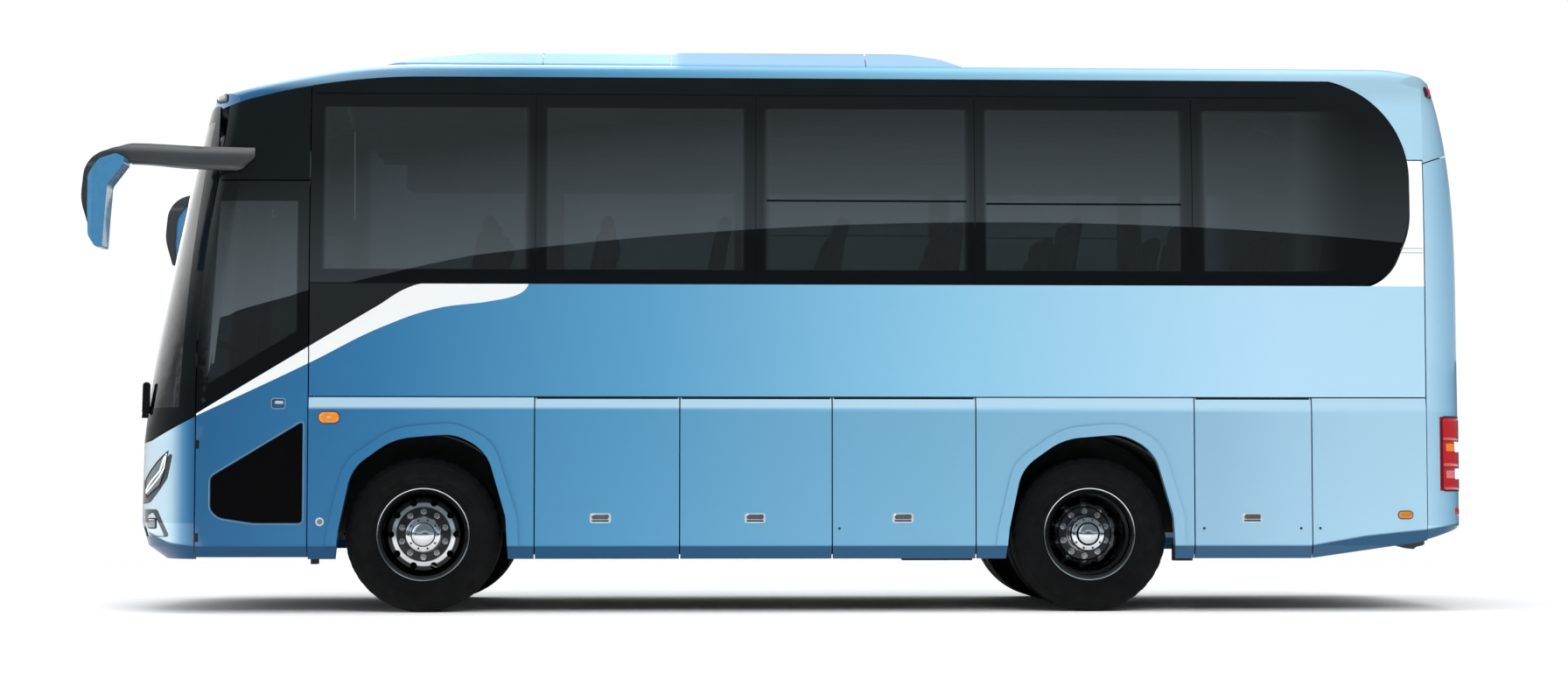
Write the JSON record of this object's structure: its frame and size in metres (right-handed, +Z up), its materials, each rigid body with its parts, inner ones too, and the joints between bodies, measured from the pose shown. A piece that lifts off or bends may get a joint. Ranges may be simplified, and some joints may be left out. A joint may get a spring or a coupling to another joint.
{
  "type": "coach bus",
  "caption": "Single-deck touring coach with hinged doors, luggage flaps, engine lid, steered front wheels and rear twins.",
  "frame": {"origin": "on the ground under the middle of the overall length and width", "axes": "+X rearwards, +Y to the right-hand side of the vehicle, +Z up"},
  "size_m": [8.7552, 3.16, 3.612],
  "materials": {
    "body_blue": "satin metallic clear coat",
    "trim_white": "gloss",
    "frame_black": "gloss",
    "dark_glass": "tinted",
    "mirror_grey": "satin",
    "lamp_clear": "clear lens",
    "lamp_red": "gloss lens",
    "tyre_rubber": "matt",
    "wheel_chrome": "polished",
    "chassis_black": "matt",
    "floor_grey": "matt",
    "seat_fabric": "woven",
    "dash_plastic": "matt",
    "spring_rubber": "matt",
    "hinge_steel": "brushed"
  },
  "bodies": {
    "coach_body": {"roof_shell": "body_blue", "roof_unit": "body_blue", "rear_dome": "body_blue", "rear_cap": "body_blue", "front_fascia": "body_blue", "waist_panels": "body_blue", "skirt_panels": "body_blue", "rear_quarters": "trim_white", "window_frames": "frame_black", "windscreen_frame": "frame_black", "side_windows": "dark_glass", "windscreen": "dark_glass", "rear_window": "dark_glass", "front_lamps": "lamp_clear", "tail_lamps": "lamp_red", "cabin_floors": "floor_grey", "luggage_hold": "floor_grey", "wheelhouses": "chassis_black", "chassis_frame": "chassis_black", "front_axle": "chassis_black", "rear_axle": "chassis_black", "air_springs": "spring_rubber", "engine": "chassis_black", "dashboard": "dash_plastic", "seats": "seat_fabric", "luggage_racks": "floor_grey", "mirror_arms": "mirror_grey", "mirror_heads": "body_blue", "wipers": "mirror_grey", "hinge_rods": "hinge_steel"},
    "front_wheel_left": {"front_tyre_left": "tyre_rubber", "front_rim_left": "wheel_chrome"},
    "rear_wheels_left": {"rear_tyres_left": "tyre_rubber", "rear_rims_left": "wheel_chrome"},
    "steering_knuckle_left": {"knuckle_left": "chassis_black"},
    "luggage_flap_1_left_body": {"luggage_flap_1_left": "body_blue"},
    "luggage_flap_2_left_body": {"luggage_flap_2_left": "body_blue"},
    "luggage_flap_3_left_body": {"luggage_flap_3_left": "body_blue"},
    "service_flap_left_body": {"service_flap_left": "body_blue"},
    "front_wheel_right": {"front_tyre_right": "tyre_rubber", "front_rim_right": "wheel_chrome"},
    "rear_wheels_right": {"rear_tyres_right": "tyre_rubber", "rear_rims_right": "wheel_chrome"},
    "steering_knuckle_right": {"knuckle_right": "chassis_black"},
    "luggage_flap_1_right_body": {"luggage_flap_1_right": "body_blue"},
    "luggage_flap_2_right_body": {"luggage_flap_2_right": "body_blue"},
    "luggage_flap_3_right_body": {"luggage_flap_3_right": "body_blue"},
    "service_flap_right_body": {"service_flap_right": "body_blue"},
    "driver_door_body": {"driver_door": "body_blue", "driver_door_glass": "dark_glass"},
    "passenger_door_body": {"passenger_door": "body_blue", "passenger_door_glass": "dark_glass"},
    "passenger_door_arm": {"door_arm": "hinge_steel"},
    "engine_lid_body": {"engine_lid": "body_blue"},
    "steering_wheel_body": {"steering_wheel": "dash_plastic"},
    "track_rod_body": {"track_rod": "chassis_black"}
  },
  "joints": [
    {"name": "left_steer", "type": "hinge", "parent": "coach_body", "child": "steering_knuckle_left", "pos_m": [-2.286, -0.975, 0.487], "axis": [0, 0, 1], "range_deg": [-36, 36]},
    {"name": "right_steer", "type": "hinge", "parent": "coach_body", "child": "steering_knuckle_right", "pos_m": [-2.286, 0.975, 0.487], "axis": [0, 0, 1], "range_deg": [-36, 36]},
    {"name": "track_rod_turn", "type": "hinge", "parent": "steering_knuckle_left", "child": "track_rod_body", "pos_m": [-2.136, -0.975, 0.352], "axis": [0, 0, 1], "range_deg": [-37, 37]},
    {"name": "steering_wheel_turn", "type": "hinge", "parent": "coach_body", "child": "steering_wheel_body", "pos_m": [-3.476, -0.64, 1.62], "axis": [0.4226, 0, 0.9063], "range_deg": [-649, 649]},
    {"name": "front_left_spin", "type": "hinge", "parent": "steering_knuckle_left", "child": "front_wheel_left", "pos_m": [-2.286, -1.065, 0.487], "axis": [0, 1, 0], "continuous": true},
    {"name": "rear_left_spin", "type": "hinge", "parent": "coach_body", "child": "rear_wheels_left", "pos_m": [1.914, -1.065, 0.487], "axis": [0, 1, 0], "continuous": true},
    {"name": "luggage_flap_1_left_hinge", "type": "hinge", "parent": "coach_body", "child": "luggage_flap_1_left_body", "pos_m": [-1.1335, -1.232, 1.338], "axis": [-1, 0, 0], "range_deg": [0, 95]},
    {"name": "luggage_flap_2_left_hinge", "type": "hinge", "parent": "coach_body", "child": "luggage_flap_2_left_body", "pos_m": [-0.2, -1.232, 1.338], "axis": [-1, 0, 0], "range_deg": [0, 95]},
    {"name": "luggage_flap_3_left_hinge", "type": "hinge", "parent": "coach_body", "child": "luggage_flap_3_left_body", "pos_m": [0.732, -1.232, 1.338], "axis": [-1, 0, 0], "range_deg": [0, 95]},
    {"name": "service_flap_left_hinge", "type": "hinge", "parent": "coach_body", "child": "service_flap_left_body", "pos_m": [2.945, -1.232, 1.338], "axis": [-1, 0, 0], "range_deg": [0, 95]},
    {"name": "front_right_spin", "type": "hinge", "parent": "steering_knuckle_right", "child": "front_wheel_right", "pos_m": [-2.286, 1.065, 0.487], "axis": [0, 1, 0], "continuous": true},
    {"name": "rear_right_spin", "type": "hinge", "parent": "coach_body", "child": "rear_wheels_right", "pos_m": [1.914, 1.065, 0.487], "axis": [0, 1, 0], "continuous": true},
    {"name": "luggage_flap_1_right_hinge", "type": "hinge", "parent": "coach_body", "child": "luggage_flap_1_right_body", "pos_m": [-1.1335, 1.232, 1.338], "axis": [1, 0, 0], "range_deg": [0, 95]},
    {"name": "luggage_flap_2_right_hinge", "type": "hinge", "parent": "coach_body", "child": "luggage_flap_2_right_body", "pos_m": [-0.2, 1.232, 1.338], "axis": [1, 0, 0], "range_deg": [0, 95]},
    {"name": "luggage_flap_3_right_hinge", "type": "hinge", "parent": "coach_body", "child": "luggage_flap_3_right_body", "pos_m": [0.732, 1.232, 1.338], "axis": [1, 0, 0], "range_deg": [0, 95]},
    {"name": "service_flap_right_hinge", "type": "hinge", "parent": "coach_body", "child": "service_flap_right_body", "pos_m": [2.945, 1.232, 1.338], "axis": [1, 0, 0], "range_deg": [0, 95]},
    {"name": "driver_door_hinge", "type": "hinge", "parent": "coach_body", "child": "driver_door_body", "pos_m": [-3.68, -1.231, 0.76], "axis": [0, 0, -1], "range_deg": [0, 70]},
    {"name": "door_arm_swing", "type": "hinge", "parent": "coach_body", "child": "passenger_door_arm", "pos_m": [-3.638, 1.13, 1.25], "axis": [0, 0, 1], "range_deg": [0, 140]},
    {"name": "passenger_door_turn", "type": "hinge", "parent": "passenger_door_arm", "child": "passenger_door_body", "pos_m": [-3.349, 1.09, 1.25], "axis": [0, 0, 1], "range_deg": [-141, 1]},
    {"name": "engine_lid_hinge", "type": "hinge", "parent": "coach_body", "child": "engine_lid_body", "pos_m": [4.37, 0, 1.367], "axis": [0, -1, 0], "range_deg": [0, 75]}
  ],
  "couplings": [
    {"joint": "right_steer", "follows": "left_steer", "ratio": 1},
    {"joint": "track_rod_turn", "follows": "left_steer", "ratio": -1},
    {"joint": "steering_wheel_turn", "follows": "left_steer", "ratio": 18},
    {"joint": "passenger_door_turn", "follows": "door_arm_swing", "ratio": -1}
  ]
}
